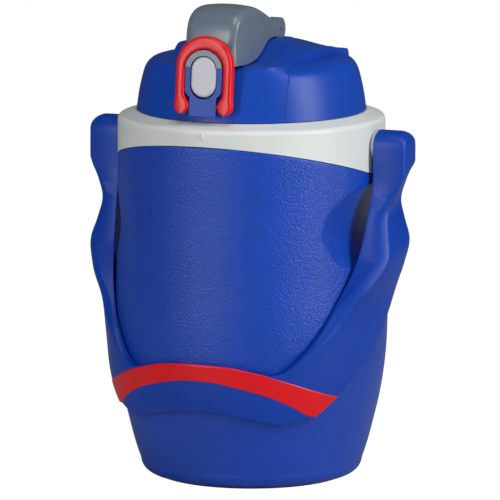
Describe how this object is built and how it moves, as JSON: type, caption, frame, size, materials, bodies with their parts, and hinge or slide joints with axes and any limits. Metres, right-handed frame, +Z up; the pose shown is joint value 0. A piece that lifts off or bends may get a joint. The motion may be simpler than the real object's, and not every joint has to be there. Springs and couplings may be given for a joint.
{
  "type": "insulated water jug",
  "caption": "Large insulated drinking jug with a foam-filled casing, a screw lid, a push-button flip cap over a spout, a lock ring and a swing handle.",
  "frame": {"origin": "centre of the foot pad, on the surface the jug stands on", "axes": "+Z up the body's axis; -Y towards the front with the button, lock ring and stowed handle band; +X along the handle's swing axis"},
  "size_m": [0.192, 0.1583, 0.2696],
  "materials": {
    "casing_blue": "fine pebble grain, moulded",
    "handle_blue": "satin, moulded",
    "lid_blue": "semi-gloss, moulded",
    "collar_white": "satin, moulded",
    "cap_grey": "semi-gloss, moulded",
    "trim_red": "semi-gloss, moulded",
    "button_grey": "satin, moulded",
    "liner_white": "smooth food-grade plastic",
    "foam": "closed-cell foam",
    "seal": "soft silicone",
    "foot_rubber": "matte rubber",
    "steel": "drawn stainless wire"
  },
  "bodies": {
    "vessel": {"outer_shell": "casing_blue", "base_plate": "casing_blue", "foot_pad": "foot_rubber", "foam_insulation": "foam", "inner_tank": "liner_white", "collar": "collar_white", "left_pivot_bush": "collar_white", "right_pivot_bush": "collar_white"},
    "handle": {"handle_frame": "handle_blue", "handle_trim": "trim_red", "left_pivot_pin": "steel", "right_pivot_pin": "steel"},
    "gasket": {"lid_gasket": "seal"},
    "lid": {"lid_shell": "lid_blue", "lid_liner": "liner_white", "spout": "liner_white", "vent_valve": "seal", "latch_bezel": "cap_grey", "cap_hinge_pin": "steel", "cap_spring": "steel", "button_pin": "steel", "button_spring": "steel", "lock_pin": "steel"},
    "cap": {"cap_shell": "cap_grey", "cap_seal": "seal"},
    "button": {"button": "button_grey"},
    "lock_ring": {"lock_ring": "trim_red"}
  },
  "joints": [
    {"name": "handle_swing", "type": "hinge", "parent": "vessel", "child": "handle", "pos_m": [0, 0, 0.1895], "axis": [1, 0, 0], "range_deg": [-155, 0]},
    {"name": "lid_lift", "type": "slide", "parent": "vessel", "child": "gasket", "axis": [0, 0, 1], "range_m": [0, 0.07]},
    {"name": "lid_turn", "type": "hinge", "parent": "gasket", "child": "lid", "pos_m": [0, 0, 0.207], "axis": [0, 0, 1], "range_deg": [0, 540]},
    {"name": "cap_open", "type": "hinge", "parent": "lid", "child": "cap", "pos_m": [0, 0.013, 0.25], "axis": [-1, 0, 0], "range_deg": [0, 115], "deforming": ["cap_spring"]},
    {"name": "button_press", "type": "hinge", "parent": "lid", "child": "button", "pos_m": [0, -0.0616, 0.2325], "axis": [1, 0, 0], "range_deg": [0, 6], "stiffness_Nm_per_rad": 0.2, "deforming": ["button_spring"]},
    {"name": "lock_flip", "type": "hinge", "parent": "lid", "child": "lock_ring", "pos_m": [0, -0.0674, 0.216], "axis": [1, 0, 0], "range_deg": [0, 130]}
  ]
}
